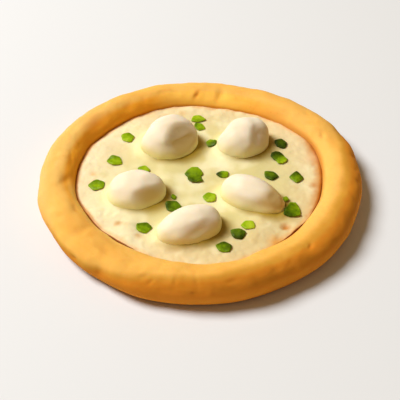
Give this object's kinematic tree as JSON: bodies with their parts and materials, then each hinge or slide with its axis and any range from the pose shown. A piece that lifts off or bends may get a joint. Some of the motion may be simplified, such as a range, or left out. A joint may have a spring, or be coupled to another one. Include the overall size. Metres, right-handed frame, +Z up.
{
  "type": "pizza bread",
  "caption": "Small round pizza bread with a thick rolled rim, melted cheese, soft mozzarella balls and torn green herb bits.",
  "frame": {"origin": "on the flat underside of the bread, below the middle of its round rim", "axes": "+Z up from the surface it lies on; -Y faces the viewer of the picture, +X to the viewer's right"},
  "size_m": [0.2409, 0.2392, 0.0378],
  "materials": {
    "crust": "soft matt golden baked crust",
    "cheese": "satin melted cheese, pale cream with light toasted spots",
    "mozzarella": "smooth satin fresh cheese",
    "herb": "glossy fresh green leaf"
  },
  "bodies": {
    "root": {"bread": "crust", "cheese": "cheese", "mozzarella_back_left": "mozzarella", "mozzarella_back_right": "mozzarella", "mozzarella_left": "mozzarella", "mozzarella_right": "mozzarella", "mozzarella_front": "mozzarella", "herb_01": "herb", "herb_02": "herb", "herb_03": "herb", "herb_04": "herb", "herb_05": "herb", "herb_06": "herb", "herb_07": "herb", "herb_08": "herb", "herb_09": "herb", "herb_10": "herb", "herb_11": "herb", "herb_12": "herb", "herb_13": "herb", "herb_14": "herb", "herb_15": "herb", "herb_16": "herb", "herb_17": "herb", "herb_18": "herb", "herb_19": "herb", "herb_20": "herb", "herb_21": "herb", "herb_22": "herb"}
  },
  "joints": []
}
